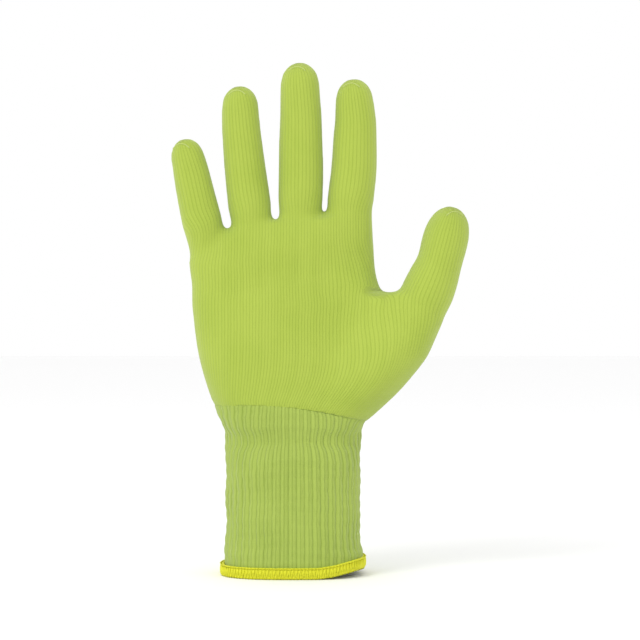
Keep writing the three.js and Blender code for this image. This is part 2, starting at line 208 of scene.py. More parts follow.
# The wales of each stall's front, counted across the palm from the little finger's side.
WALES = {"little": (0, 14), "ring": (14, 30), "middle": (30, 47), "index": (47, 64), "thumb": (64, 84)}
STALL_FOOT = 15 * MM  # how far a stall is started inside the palm
stall = {}
for name in STALLS:
    thumb = name == "thumb"
    parts = ("root", "tip") if thumb else ("root", "middle", "tip")
    nodes = [f"thumb_{part}" if thumb else f"{name}_finger_{part}" for part in parts]
    marks = [at(f"{name}_{part}_knuckle") for part in parts]
    cloud = corners(nodes[-1])
    pole = Vector(cloud[np.argmax(((cloud - np.array(marks[-1])) ** 2).sum(1))])
    marks.append(pole)
    spans = np.r_[0, np.cumsum([(b - a).length for a, b in zip(marks, marks[1:])])]
    tree = skin(*nodes)
    line = np.array([m[:] for m in marks])
    long = spans[-1] / MM
    steps = np.r_[np.arange(1.2, long - 3, 2.0), long - np.array([2.6, 1.6, 0.8, 0.3])] * MM
    centres = np.array([[np.interp(s, spans, line[:, k]) for k in range(3)] for s in steps])
    for _ in range(3):
        centres[1:-1] = (centres[:-2] + 2 * centres[1:-1] + centres[2:]) / 4
    ways, sides, fronts, radii = [], [], [], []
    for k in range(len(steps)):
        way = Vector(centres[min(k + 1, len(steps) - 1)] - centres[max(k - 1, 0)]).normalized()
        side = (RIGHT - way * RIGHT.dot(way)).normalized()
        front = side.cross(way).normalized() * (1 if side.cross(way).y < 0 else -1)
        ways.append(way)
        sides.append(side)
        fronts.append(front)
        radii.append(spread(tree, Vector(centres[k]), side, front, 32, 0.03))
    radii = soften(np.array(radii), 1, 1)
    # A knit stall has no steps at the knuckles, so each side runs as one smooth line to the cap.
    shaft = steps < spans[-1] - 9 * MM
    line_up = steps[shaft]
    for c in range(radii.shape[1]):
        side_line = radii[shaft, c]
        keep = np.ones(len(line_up), dtype=bool)
        for _ in range(3):
            curve = np.polynomial.Polynomial.fit(line_up[keep], side_line[keep], 3)
            keep = side_line > curve(line_up) - 0.25 * MM
        blend_in = ease(line_up, line_up[-1] - 5 * MM, line_up[-1])
        radii[shaft, c] = curve(line_up) * (1 - blend_in) + side_line * blend_in
    if thumb:
        # The thumb's last joint is broad, with a slight waist below it.
        radii += (0.9 * np.exp(-((steps - 31 * MM) / (8 * MM)) ** 2)
                  - 0.5 * np.exp(-((steps - 17 * MM) / (5 * MM)) ** 2))[:, None] * MM
    radii += np.where(steps < spans[-1] - 3 * MM, 0.4, 0.2)[:, None] * MM
    rings = [ring_points(c, s, f, r) for c, s, f, r in zip(centres, sides, fronts, radii)]
    base = centres[0] - np.array(ways[0]) * STALL_FOOT
    foot = ring_points(base, sides[0], fronts[0], radii[0] * 0.9)
    lumps.append(tube(name + "_lump", [foot, *rings]))
    stall[name] = {"marks": marks, "centres": centres, "steps": steps, "pole": pole,
                   "way": (marks[1] - marks[0]).normalized(), "sides": sides, "fronts": fronts}

bpy.ops.object.select_all(action="DESELECT")
for item in lumps:
    item.select_set(True)
bpy.context.view_layer.objects.active = lumps[0]
bpy.ops.object.join()
body = bpy.context.view_layer.objects.active
voxels = body.modifiers.new("one_skin", "REMESH")
voxels.mode = "VOXEL"
voxels.voxel_size = 1.05 * MM
bpy.ops.object.modifier_apply(modifier="one_skin")
even = body.modifiers.new("even", "SMOOTH")
even.factor = 0.5
even.iterations = 22
bpy.ops.object.modifier_apply(modifier="even")

# The crotches are drawn into smooth saddles, the thumb's over a wider reach.
web_x = thumb_base.x * 0.3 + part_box("upper_palm")[1].x * 0.7
webs = [(Vector((web_x - 3 * MM, heart.y - 6 * MM, CROTCH)), 15 * MM)]
webs += [(Vector((x, knuckles[0].y, z)), 6 * MM) for x, z in zip(web_xs[1:-1], web_zs[1:-1])]
webs.append((Vector((web_xs[0], knuckles[0].y, web_zs[0])), 8 * MM))
saddles = body.vertex_groups.new(name="saddles")
for v in body.data.vertices:
    weight = max(math.exp(-((v.co - spot).length / size) ** 2) for spot, size in webs)
    if weight > 0.02:
        saddles.add([v.index], weight, "REPLACE")
draw = body.modifiers.new("draw", "SMOOTH")
draw.factor = 0.5
draw.iterations = 80
draw.vertex_group = "saddles"
bpy.ops.object.modifier_apply(modifier="draw")

# The rib ends on a slanting, slightly bowed line, higher on the little finger's side.
rim_left = Vector((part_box("cuff_rib")[0].x, 0, wrist.z + 12.2 * MM))
rim_right = Vector((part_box("cuff_rib")[1].x, 0, wrist.z + 5.0 * MM))
rim_slope = (rim_right.z - rim_left.z) / (rim_right.x - rim_left.x)


def bow(x):
    return 3.0 * MM * np.sin(math.pi * np.clip((x - rim_left.x) / (rim_right.x - rim_left.x), 0, 1))


def rim_height(x):
    return rim_left.z + rim_slope * (x - rim_left.x) + bow(x)


for v in body.data.vertices:
    v.co.z -= bow(v.co.x)
bpy.ops.object.mode_set(mode="EDIT")
bpy.ops.mesh.select_all(action="SELECT")
bpy.ops.mesh.bisect(plane_co=rim_left, plane_no=Vector((-rim_slope, 0, 1)).normalized(),
                    clear_inner=True)
bpy.ops.object.mode_set(mode="OBJECT")
for v in body.data.vertices:
    v.co.z += bow(v.co.x)
    edge = max(0.0, 1 - (v.co.z - rim_height(v.co.x)) / (3.5 * MM))
    inward = Vector((wrist.x - v.co.x, wrist.y - v.co.y, 0)).normalized()
    v.co += inward * edge * edge * 0.55 * MM
outer_tree = BVHTree.FromPolygons([v.co.copy() for v in body.data.vertices],
                                  [list(p.vertices) for p in body.data.polygons])
wall = body.modifiers.new("wall", "SOLIDIFY")
wall.thickness = 1.1 * MM
wall.offset = -1
wall.use_rim = True
bpy.ops.object.modifier_apply(modifier="wall")
whole = body.data
count = len(whole.vertices)
points = np.empty(count * 3)
whole.vertices.foreach_get("co", points)
points = points.reshape(-1, 3)
normals = np.array([n.vector[:] for n in whole.vertex_normals])


def arc_table(rings):
    """For each ring, the share of the way from its left to its right side, front and back."""
    table = []
    for ring in rings:
        n = len(ring)
        left, right = int(np.argmin(ring[:, 0])), int(np.argmax(ring[:, 0]))
        step = np.linalg.norm(np.roll(ring, -1, 0) - ring, axis=1)
        row = np.zeros(n)
        ahead = [(right + k) % n for k in range((left - right) % n + 1)]
        behind = [(left + k) % n for k in range((right - left) % n + 1)]
        run = np.r_[0, np.cumsum(step[ahead[:-1]])]
        row[ahead] = 1 - run / run[-1]
        run = np.r_[0, np.cumsum(step[behind[:-1]])]
        row[behind] = run / run[-1]
        table.append(row)
    return np.array(table)


all_rings = low_rings + high_rings
all_heights = np.r_[low_heights, high_heights]
shares = arc_table(all_rings)
split = len(low_heights)
shares[:split] = soften(shares[:split], 10, 0)
shares[split:] = soften(shares[split:], 6, 0)
turn = np.arctan2(-(points[:, 1] - heart.y), points[:, 0] - heart.x) % (2 * math.pi)
row = np.interp(points[:, 2], all_heights, np.arange(len(all_heights)))
r0 = np.minimum(row.astype(int), len(all_heights) - 2)
rf = row - r0
col = turn / (2 * math.pi) * AROUND
c0 = col.astype(int) % AROUND
c1 = (c0 + 1) % AROUND
cf = col - np.floor(col)
jump = (r0 == split - 1)
rf = np.where(jump, (points[:, 2] > CROTCH).astype(float), rf)
share = ((shares[r0, c0] * (1 - cf) + shares[r0, c1] * cf) * (1 - rf)
         + (shares[r0 + 1, c0] * (1 - cf) + shares[r0 + 1, c1] * cf) * rf)
half_count = count // 2
outwards = np.where(np.arange(count) < half_count, 1.0, -1.0)
facing = np.where(normals[:, 1] * outwards < 0, 1.0, -1.0)

roots = [at(f"{n}_root_knuckle").x for n in STALLS[:4]]
lines = [(a + b) / 2 for a, b in zip(roots, roots[1:])]
values = np.array([0.0] + [WALES[name][1] for name in STALLS])
UPPER_LAST, LOWER_LAST = values[4], values[5]
anchor_rows = []
for z, ring in zip(all_heights, all_rings):
    n = len(ring)
    table = shares[len(anchor_rows)]
    order = sorted(range(n // 2 + 1), key=lambda k: ring[k, 0])
    xs = ring[order, 0]
    marks_x = lines + [web_x]
    found = np.interp(marks_x, xs, table[order])
    if z > CROTCH:
        found[3] = 1.0
    plain = values[1:5] / LOWER_LAST
    settle = float(ease(z, wrist.z, wrist.z + 45 * MM))
    anchor_rows.append(found * settle + plain * (1 - settle))
anchor_rows = np.array(anchor_rows)
anchor_rows[:split] = soften(anchor_rows[:split], 10, 0)
anchor_rows[split:] = soften(anchor_rows[split:], 6, 0)
anchors = anchor_rows[r0] * (1 - rf)[:, None] + anchor_rows[r0 + 1] * rf[:, None]
knots = np.c_[np.zeros(count), anchors, np.ones(count)]
upper = points[:, 2] > CROTCH
wale = np.zeros(count)
for k in range(5):
    a, b = knots[:, k], knots[:, k + 1]
    inside = (share >= a) & (share <= b + 1e-9)
    part = (share - a) / np.maximum(b - a, 1e-6)
    wale = np.where(inside, values[k] + part * (values[k + 1] - values[k]), wale)
wale = np.where(upper, np.minimum(wale, UPPER_LAST), wale)
# Close under the fingers the wales stand straight up, in line with the stalls.
straight = np.interp(points[:, 0], web_xs, values[:5])
near_top = ease(points[:, 2], fold.z, fold.z + 16 * MM)
wale = wale * (1 - near_top) + straight * near_top
edge_left = np.zeros(count)
edge_right = np.where(upper, UPPER_LAST, LOWER_LAST)
course = points[:, 2].copy()


def along_line(name):
    """For every point, the nearest place on a stall's line: its distance and its run."""
    marks = [np.array(m) for m in stall[name]["marks"]]
    marks[0] = marks[0] - np.array(stall[name]["way"]) * STALL_FOOT
    best = np.full(count, 9.0)
    run = np.zeros(count)
    so_far = -STALL_FOOT
    for a, b in zip(marks, marks[1:]):
        length = np.linalg.norm(b - a)
        t = np.clip(((points - a) @ (b - a)) / length ** 2, 0, 1)
        d = np.linalg.norm(points - (a + t[:, None] * (b - a)), axis=1)
        run = np.where(d < best, so_far + t * length, run)
        best = np.minimum(best, d)
        so_far += length
    return best, run


near = {name: along_line(name) for name in STALLS}
gap = np.array([near[name][0] - (4 * MM if name == "thumb" else 0) for name in STALLS])
owner = np.argmin(gap, 0)
for k, name in enumerate(STALLS):
    s = stall[name]
    root = np.array(s["marks"][0])
    way = np.array(s["way"])
    flat = (points - root) @ way
    mine = owner == k
    limit = 19.5 * MM if name == "thumb" else 15 * MM
    mine &= near[name][0] < limit
    if name == "thumb":
        mine &= points[:, 0] > web_x - 3 * MM
    run = near[name][1]
    idx = np.clip(np.searchsorted(s["steps"], run), 0, len(s["steps"]) - 1)
    offset = points - s["centres"][idx]
    right = (offset * np.array([v[:] for v in s["sides"]])[idx]).sum(1)
    fore = (offset * np.array([v[:] for v in s["fronts"]])[idx]).sum(1)
    angle = np.arctan2(np.abs(fore), -right) / math.pi
    first, last = WALES[name]
    own = first + (last - first) * angle
    mix = ease(flat, -16 * MM, -1 * MM) if name == "thumb" else ease(flat, -6 * MM, 8 * MM)
    mix = np.where(mine, mix, 0)
    blended = wale * (1 - mix) + own * mix
    if name == "thumb":
        # The thumb is turned to the palm, so its own front and back take over from the
        # palm's along its base: the wales are counted on past the side edge and folded back.
        outer = angle > 0.5
        side = np.where(outer, last, first)
        of_palm = np.where(facing > 0, wale, 2 * side - wale)
        of_stall = np.where(fore > 0, own, 2 * side - own)
        counted = of_palm * (1 - mix) + of_stall * mix
        behind = np.where(outer, counted > side, counted < side)
        turned = (mix > 0.5) | (outer & (mix > 0))
        blended = np.where(turned, np.where(behind, 2 * side - counted, counted), blended)
        facing = np.where(turned, np.where(behind, -1.0, 1.0), facing)
    wale = blended
    course = course * (1 - mix) + (root[2] + run) * mix
    strong = mix > 0.5
    edge_left = np.where(strong, first, edge_left)
    edge_right = np.where(strong, last, edge_right)

# The wales run smoothly, so their numbers are evened out over the mesh.
pairs = np.empty(len(whole.edges) * 2, dtype=int)
whole.edges.foreach_get("vertices", pairs)
pairs = np.r_[pairs.reshape(-1, 2), pairs.reshape(-1, 2)[:, ::-1]]
valence = np.bincount(pairs[:, 0], minlength=count)
for _ in range(10):
    near_edge = np.minimum(np.abs(wale - edge_left), np.abs(edge_right - wale)) < 0.7
    mean = np.bincount(pairs[:, 0], wale[pairs[:, 1]], minlength=count) / valence
    wale = np.where(near_edge, wale, 0.4 * wale + 0.6 * mean)

loops = np.empty(len(whole.loops), dtype=int)
whole.loops.foreach_get("vertex_index", loops)
starts = np.empty(len(whole.polygons), dtype=int)
whole.polygons.foreach_get("loop_start", starts)
sizes = np.empty(len(whole.polygons), dtype=int)
whole.polygons.foreach_get("loop_total", sizes)
face_of = np.repeat(np.arange(len(sizes)), sizes)
centre = np.zeros((len(sizes), 3))
for k in range(3):
    centre[:, k] = np.bincount(face_of, points[loops, k]) / sizes
face_side = np.bincount(face_of, facing[loops]) / sizes
u = wale[loops]
other = facing[loops] * np.where(face_side[face_of] >= 0, 1, -1) < 0
to_left = np.abs(u - edge_left[loops]) < np.abs(edge_right[loops] - u)
mirrored = np.where(to_left, 2 * edge_left[loops] - u, 2 * edge_right[loops] - u)
u = np.where(other, mirrored, u)
COURSE_TALL = 1.35 * MM
v = course[loops] / COURSE_TALL

face_near = {n: np.bincount(face_of, near[n][0][loops]) / sizes for n in STALLS}
face_gap = np.array([face_near[n] for n in STALLS])
face_pick = np.argmin(face_gap, 0)
piece_of = np.array(["palm"] * len(sizes), dtype=object)
piece_of[centre[:, 2] < wrist.z + 21 * MM] = "heel"
# For each piece, two bodies and a slab between them are listed. No slab crosses a cut between two pieces.
WRIST_REACH, FOLD_REACH, CLEAR = 15 * MM, 14.5 * MM, 0.9 * MM
bends = {"heel": ("cuff", "lower_palm", Vector((wrist.x, wrist.y, wrist.z - WRIST_REACH)),
                  Vector((wrist.x, wrist.y, wrist.z + WRIST_REACH)))}
fold_axis = Vector(joint["palm_fold"]["axis"])
fold_up = Vector((-fold_axis.z, 0, fold_axis.x)).normalized()
bends["palm"] = ("lower_palm", "upper_palm", fold - fold_up * FOLD_REACH, fold + fold_up * FOLD_REACH)
for k, name in enumerate(STALLS):
    s = stall[name]
    root, way = s["marks"][0], s["way"]
    flat = (centre - np.array(root)) @ np.array(way)
    if name == "thumb":
        mine = (face_near[name] < 19 * MM) & (flat > -5 * MM) & (centre[:, 0] > web_x - 2 * MM)
        cut = 7.2 * MM
        piece_of[mine & (flat < cut)] = "thumb_root"
        piece_of[mine & (flat >= cut)] = "thumb_tip"
        bends["thumb_root"] = ("lower_palm", "thumb_root",
                               root - way * 3.6 * MM, root + way * (cut - CLEAR))
        bends["thumb_tip"] = ("thumb_root", "thumb_tip",
                              root + way * (cut + CLEAR), root + way * 24 * MM)
        continue
    mine = (face_pick == k) & (flat > -1.0 * MM) & (face_near[name] < 16 * MM)
    half = (s["marks"][1] - root).length
    cut1, cut2 = 0.41 * half, 1.62 * half
    hinge = s["marks"][2]
    tip_at = (hinge - root).dot(way)
    room = min(7 * MM, tip_at - cut2 - CLEAR)
    piece_of[mine & (flat < cut1)] = name + "_root"
    piece_of[mine & (flat >= cut1) & (flat < cut2)] = name + "_middle"
    piece_of[mine & (flat >= cut2)] = name + "_tip"
    bends[name + "_root"] = ("upper_palm", name + "_finger_root",
                             root + way * 0.0, root + way * (cut1 - CLEAR))
    bends[name + "_middle"] = (name + "_finger_root", name + "_finger_middle",
                               root + way * (cut1 + CLEAR), root + way * (cut2 - CLEAR))
    bends[name + "_tip"] = (name + "_finger_middle", name + "_finger_tip",
                            hinge - way * room, hinge + way * room)


# The knit's loops are worked out once, in a node group, which also gives a painted shade for the grooves
# between the wales. The rib uses it too, as it's knitted of the same yarn.
def node(tree, kind, inputs=None, **settings):
    n = tree.nodes.new(kind)
    for key, value in settings.items():
        setattr(n, key, value)
    for key, value in (inputs or {}).items():
        if isinstance(value, bpy.types.NodeSocket):
            tree.links.new(value, n.inputs[key])
        else:
            n.inputs[key].default_value = value
    return n


def calc(tree, operation, a, b=0.0):
    return node(tree, "ShaderNodeMath", {0: a, 1: b}, operation=operation).outputs[0]


def new_group(name, inputs, outputs):
    tree = bpy.data.node_groups.new(name, "ShaderNodeTree")
    for key in inputs:
        tree.interface.new_socket(key, in_out="INPUT", socket_type="NodeSocketFloat")
    for key in outputs:
        tree.interface.new_socket(key, in_out="OUTPUT", socket_type="NodeSocketFloat")
    return tree, tree.nodes.new("NodeGroupInput"), tree.nodes.new("NodeGroupOutput")


knit, given, result = new_group("knit_loops", ["Wale", "Course"], ["Height", "GrooveShade", "Streak"])
across = calc(knit, "SUBTRACT", calc(knit, "FRACT", given.outputs["Wale"]), 0.5)
apart = calc(knit, "ABSOLUTE", across)
off_leg = calc(knit, "ABSOLUTE", calc(knit, "SUBTRACT", calc(knit, "MULTIPLY", apart, 4.0), 1.0))
leg = calc(knit, "SUBTRACT", 1.0, calc(knit, "POWER", off_leg, 2.0))
dome = calc(knit, "SUBTRACT", 1.0, calc(knit, "POWER", calc(knit, "MULTIPLY", apart, 2.0), 2.0))
lean = calc(knit, "ADD", given.outputs["Course"], calc(knit, "MULTIPLY", apart, 1.6))
wave = calc(knit, "SINE", calc(knit, "MULTIPLY", lean, 2 * math.pi))
beat = calc(knit, "MULTIPLY", calc(knit, "ADD", wave, 1.0), 0.5)
yarn = calc(knit, "MULTIPLY", leg, calc(knit, "ADD", 0.55, calc(knit, "MULTIPLY", beat, 0.45)))
total = calc(knit, "ADD", calc(knit, "MULTIPLY", yarn, 0.45), calc(knit, "MULTIPLY", dome, 0.55))
knit.links.new(total, result.inputs["Height"])
# Painted shade: the colour is darkened in the grooves between the wales.
knit.links.new(calc(knit, "POWER", calc(knit, "SUBTRACT", 1.0, dome), 2.0), result.inputs["GrooveShade"])
dice = node(knit, "ShaderNodeTexWhiteNoise", {"W": calc(knit, "FLOOR", given.outputs["Wale"])},
            noise_dimensions="1D")
knit.links.new(dice.outputs["Value"], result.inputs["Streak"])


def cloth(name, light, dark, depth, rib):
    """A matt knit: loops from the piece's own Knit map, with painted shade in the grooves between the
    wales, and a little fuzz and mottling.
    """
    material = bpy.data.materials.new(name)
    material.use_nodes = True
    tree = material.node_tree
    tree.nodes.clear()
    out = node(tree, "ShaderNodeOutputMaterial")
    place = node(tree, "ShaderNodeTexCoord").outputs["Object"]
    way = node(tree, "ShaderNodeSeparateXYZ", {0: node(tree, "ShaderNodeUVMap", uv_map="Knit").outputs[0]})
    loops_node = node(tree, "ShaderNodeGroup", node_tree=knit)
    tree.links.new(way.outputs[0], loops_node.inputs["Wale"])
    tree.links.new(way.outputs[1], loops_node.inputs["Course"])
    cloud = node(tree, "ShaderNodeTexNoise", {"Vector": place, "Scale": 38.0, "Detail": 3.0})
    fuzz = node(tree, "ShaderNodeTexNoise", {"Vector": place, "Scale": 2600.0, "Detail": 2.0})
    # The colour darkens with painted shade in the grooves between the wales (deeper on the rib), and with
    # random mottling, a streak per wale and fuzz.
    shade = calc(tree, "ADD", calc(tree, "MULTIPLY", loops_node.outputs["GrooveShade"], 0.40 + 0.2 * rib),
                 calc(tree, "MULTIPLY", calc(tree, "SUBTRACT", cloud.outputs[0], 0.5), 0.55))
    shade = calc(tree, "ADD", shade, calc(tree, "MULTIPLY", loops_node.outputs["Streak"], 0.12))
    shade = calc(tree, "ADD", shade,
                 calc(tree, "MULTIPLY", calc(tree, "SUBTRACT", fuzz.outputs[0], 0.5), 0.35))
    mixed = node(tree, "ShaderNodeMix", {0: shade}, data_type="RGBA", clamp_factor=True)
    mixed.inputs[6].default_value = (*light, 1)
    mixed.inputs[7].default_value = (*dark, 1)
    lift = calc(tree, "ADD", calc(tree, "MULTIPLY", loops_node.outputs["Height"], 1.0 - rib * 0.35),
                calc(tree, "MULTIPLY", fuzz.outputs[0], 0.22))
    bump = node(tree, "ShaderNodeBump", {"Height": lift, "Strength": 0.85, "Distance": depth})
    surface = node(tree, "ShaderNodeBsdfPrincipled", {
        "Base Color": mixed.outputs[2], "Roughness": 0.88, "Normal": bump.outputs[0],
        "Sheen Weight": 0.25, "Sheen Roughness": 0.5, "Specular IOR Level": 0.2})
    tree.links.new(surface.outputs[0], out.inputs["Surface"])
    return material


lime = cloth("lime_jersey", (0.405, 0.513, 0.074), (0.25, 0.36, 0.026), 0.26 * MM, 0)

replaced = {"heel": [], "palm": ["lower_palm", "upper_palm"],
            "thumb_root": ["thumb_root"], "thumb_tip": ["thumb_tip"]}
for name in STALLS[:4]:
    for part in ("root", "middle", "tip"):
        replaced[f"{name}_{part}"] = [f"{name}_finger_{part}"]
for piece in bends:
    chosen = np.flatnonzero(piece_of == piece)
    mask = (piece_of == piece)[face_of]
    used, again = np.unique(loops[mask], return_inverse=True)
    faces = np.split(again, np.cumsum(sizes[chosen])[:-1])
    item = made(piece + "_jersey", points[used], faces)
    mesh = item.data
    layer = mesh.uv_layers.new(name="Knit")
    layer.data.foreach_set("uv", np.c_[u[mask], v[mask]].ravel())
    mesh.polygons.foreach_set("use_smooth", np.ones(len(chosen), dtype=bool))
    mesh.normals_split_custom_set_from_vertices(normals[used].tolist())
    mesh.materials.append(lime)
    a, b, start, end = bends[piece]
    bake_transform(item)
    if replaced[piece]:
        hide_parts(*replaced[piece])
bpy.data.objects.remove(body)

# ---------------------------------------------------------------- fingertip closings
# The last loops of each stall are drawn together by one end of the yarn, which shows as a
# short pale arc just in front of the tip. It lies on the knit and is held by the loops.
pale = bpy.data.materials.new("closing_yarn")
pale.use_nodes = True
shader = pale.node_tree.nodes["Principled BSDF"]
twist = node(pale.node_tree, "ShaderNodeTexNoise",
             {"Vector": node(pale.node_tree, "ShaderNodeTexCoord").outputs["Object"], "Scale": 1500.0})
tint = node(pale.node_tree, "ShaderNodeMix", {0: twist.outputs[0]}, data_type="RGBA")
tint.inputs[6].default_value = (0.42, 0.52, 0.12, 1)
tint.inputs[7].default_value = (0.52, 0.60, 0.20, 1)
pale.node_tree.links.new(tint.outputs[2], shader.inputs["Base Color"])
shader.inputs["Roughness"].default_value = 0.85


def thread(name, path, radius, closed=False, sides=6):
    """A round thread through points, closed on itself or with a pole at each end."""
    path = np.array(path)
    n = len(path)
    if closed:
        way = np.roll(path, -1, 0) - np.roll(path, 1, 0)
    else:
        way = np.gradient(path, axis=0)
    way /= np.linalg.norm(way, axis=1)[:, None] + 1e-12
    aid = np.where(np.abs(way[:, 2:3]) > 0.9, np.array([[1.0, 0, 0]]), np.array([[0, 0, 1.0]]))
    one = np.cross(way, aid)
    one /= np.linalg.norm(one, axis=1)[:, None] + 1e-12
    two = np.cross(way, one)
    turns = np.arange(sides) * 2 * math.pi / sides
    rings = (path[:, None] + radius * (np.cos(turns)[None, :, None] * one[:, None]
                                       + np.sin(turns)[None, :, None] * two[:, None]))
    points = rings.reshape(-1, 3)
    faces = []
    for r in range(n if closed else n - 1):
        q = (r + 1) % n
        for c in range(sides):
            d = (c + 1) % sides
            faces.append((r * sides + c, r * sides + d, q * sides + d, q * sides + c))
    if not closed:
        points = np.r_[points, path[:1], path[-1:]]
        for c in range(sides):
            d = (c + 1) % sides
            faces.append((n * sides, d, c))
            faces.append((n * sides + 1, (n - 1) * sides + c, (n - 1) * sides + d))
    item = made(name, points, faces)
    item.data.polygons.foreach_set("use_smooth", np.ones(len(faces), dtype=bool))
    return item


for name in STALLS:
    pole = stall[name]["pole"]
    reach_x = 4.2 * MM
    path = []
    for k in range(-8, 9):
        t = k / 8
        x = pole.x + t * reach_x
        z = pole.z - (2.7 + 2.2 * t * t) * MM
        hit = outer_tree.ray_cast(Vector((x, -0.1, z)), Vector((0, 1, 0)), 0.2)[0]
        if hit:
            path.append((hit.x, hit.y - 0.08 * MM, hit.z))
    arc = thread(name + "_closing", path, 0.3 * MM)
    arc.data.materials.append(pale)
    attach(arc, "thumb_tip" if name == "thumb" else name + "_finger_tip")

# ---------------------------------------------------------------- the ribbed cuff
# The cuff is a rib knitted straight on from the palm with an elastic yarn laid in, so it is
# narrower and greyer. Its ribs wander a little, and the elastic draws faint bands across it.
cuff_tree = skin("cuff_rib", "lower_palm")
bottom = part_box("hem_edge")[1].z * 0.55
RIBS = 48
RIB_COLS = 8
COLS = RIBS * RIB_COLS
CUFF_WALL = 1.9 * MM
MEASURED = 96  # places measured round the cuff
tops = 1.3 * MM
heights = np.arange(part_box("cuff_rib")[0].z + 5 * MM, wrist.z + 18 * MM, 2 * MM)
table = soften(np.array([spread(cuff_tree, Vector((wrist.x, wrist.y, z)), RIGHT, FRONT, MEASURED, 0.08)
                         for z in heights]), 3, 2)
middle_ring = ring_points((0, 0, 0), (1, 0, 0), (0, -1, 0), table[len(heights) // 2])
lengths = np.r_[0, np.cumsum(np.linalg.norm(np.roll(middle_ring, -1, 0) - middle_ring, axis=1))]
full_turn = np.arange(MEASURED + 1) * 2 * math.pi / MEASURED
turns = np.interp(np.arange(COLS) / COLS * lengths[-1], lengths, full_turn)
ROWS = 60
outside, inside, knit_v = [], [], []
for r in range(ROWS + 1):
    t = r / ROWS
    for c in range(COLS):
        turn = turns[c]
        x_guess = wrist.x + 0.033 * math.cos(turn)
        high = rim_height(x_guess) + tops
        z = bottom + (high - bottom) * t
        row = np.interp(z, heights, np.arange(len(heights)))
        k = min(int(row), len(heights) - 2)
        col = turn / (2 * math.pi) * MEASURED
        a, b = int(col) % MEASURED, (int(col) + 1) % MEASURED
        f = col - int(col)
        radius = ((table[k, a] * (1 - f) + table[k, b] * f) * (1 - row + k)
                  + (table[k + 1, a] * (1 - f) + table[k + 1, b] * f) * (row - k))
        sway = 0.10 * math.sin(z * 160 + 3 * turn) + 0.07 * math.sin(z * 330 + 7 * turn + 1.3)
        rib = abs(math.cos(math.pi * (c / RIB_COLS + sway))) ** 0.8
        bands = 0.16 * math.sin(z * 2 * math.pi / (5.6 * MM) + 1.2 * math.sin(3 * turn))
        puff = 0.30 * math.sin(z * 175 + 2 * turn + 0.5) * math.sin(2.0 * turn + z * 60) \
            + 0.22 * math.sin(z * 290 - turn * 3)
        fade = min(1.0, (high - z) / (4 * MM)) * min(1.0, 0.3 + (z - bottom) / (8 * MM))
        tuck = 0.9 * max(0.0, 1 - (high - z) / (2.0 * MM))
        relief = (rib - 0.62) * 0.75 * (0.35 + 0.65 * fade) + (bands + puff) * fade - tuck
        lifted = radius + relief * MM
        way = np.array((math.cos(turn), -math.sin(turn)))
        outside.append((wrist.x + way[0] * lifted, wrist.y + way[1] * lifted, z))
        inner = radius - CUFF_WALL - tuck * MM
        inside.append((wrist.x + way[0] * inner, wrist.y + way[1] * inner, z))
        knit_v.append(z / COURSE_TALL)
faces, corner_u, corner_v = [], [], []
total = (ROWS + 1) * COLS
for r in range(ROWS):
    for c in range(COLS):
        d = (c + 1) % COLS
        quad = (r * COLS + c, (r + 1) * COLS + c, (r + 1) * COLS + d, r * COLS + d)
        ends = tuple(k / 4 for k in (c, c, c + 1, c + 1))
        faces.append(quad)
        corner_u += ends
        corner_v += [knit_v[q] for q in quad]
        faces.append(tuple(total + q for q in reversed(quad)))
        corner_u += tuple(reversed(ends))
        corner_v += [knit_v[q] for q in reversed(quad)]
for r, flip in ((0, False), (ROWS, True)):
    for c in range(COLS):
        d = (c + 1) % COLS
        quad = (r * COLS + c, r * COLS + d, total + r * COLS + d, total + r * COLS + c)
        ends = tuple(k / 4 for k in (c, c + 1, c + 1, c))
        if flip:
            quad, ends = tuple(reversed(quad)), tuple(reversed(ends))
        faces.append(quad)
        corner_u += ends
        corner_v += [knit_v[r * COLS]] * 4
cuff = made("ribbed_cuff", outside + inside, faces)
layer = cuff.data.uv_layers.new(name="Knit")
layer.data.foreach_set("uv", np.c_[corner_u, corner_v].ravel())
cuff.data.polygons.foreach_set("use_smooth", np.ones(len(faces), dtype=bool))
cuff.data.materials.append(cloth("rib_knit", (0.375, 0.482, 0.092), (0.20, 0.29, 0.036),
                                 0.40 * MM, 1))
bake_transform(cuff)
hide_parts("cuff_rib")

# ---------------------------------------------------------------- the elastic yarn
# A covered elastic yarn runs round inside the cuff's wall and keeps it snug on the wrist.
# It is laid in while the rib is knitted, so it's held between the loops.
cloud = corners("cuff_elastic_yarn")
low_z, high_z = cloud[:, 2].min() + 0.45 * MM, cloud[:, 2].max() - 0.45 * MM
ELASTIC_TURNS, TURN_STEPS = 6, 72
path = []
for k in range(ELASTIC_TURNS * TURN_STEPS + 1):
    turn = 2 * math.pi * k / TURN_STEPS
    z = low_z + (high_z - low_z) * k / (ELASTIC_TURNS * TURN_STEPS)
    row = min(len(heights) - 1, int(round(float(np.interp(z, heights, np.arange(len(heights)))))))
    radius = float(np.interp((turn % (2 * math.pi)) / (2 * math.pi) * MEASURED,
                             np.arange(MEASURED + 1), np.r_[table[row], table[row, 0]]))
    radius -= CUFF_WALL
    path.append((wrist.x + radius * math.cos(turn), wrist.y - radius * math.sin(turn), z))
elastic = thread("elastic_yarn", path, 0.3 * MM)
stretch = bpy.data.materials.new("covered_elastic")
stretch.use_nodes = True
shader = stretch.node_tree.nodes["Principled BSDF"]
weave = node(stretch.node_tree, "ShaderNodeTexNoise",
             {"Vector": node(stretch.node_tree, "ShaderNodeTexCoord").outputs["Object"], "Scale": 1200.0})
tint = node(stretch.node_tree, "ShaderNodeMix", {0: weave.outputs[0]}, data_type="RGBA")
tint.inputs[6].default_value = (0.70, 0.74, 0.55, 1)
tint.inputs[7].default_value = (0.80, 0.82, 0.68, 1)
stretch.node_tree.links.new(tint.outputs[2], shader.inputs["Base Color"])
shader.inputs["Roughness"].default_value = 0.7
elastic.data.materials.append(stretch)
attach(elastic, "cuff")
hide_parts("cuff_elastic_yarn")

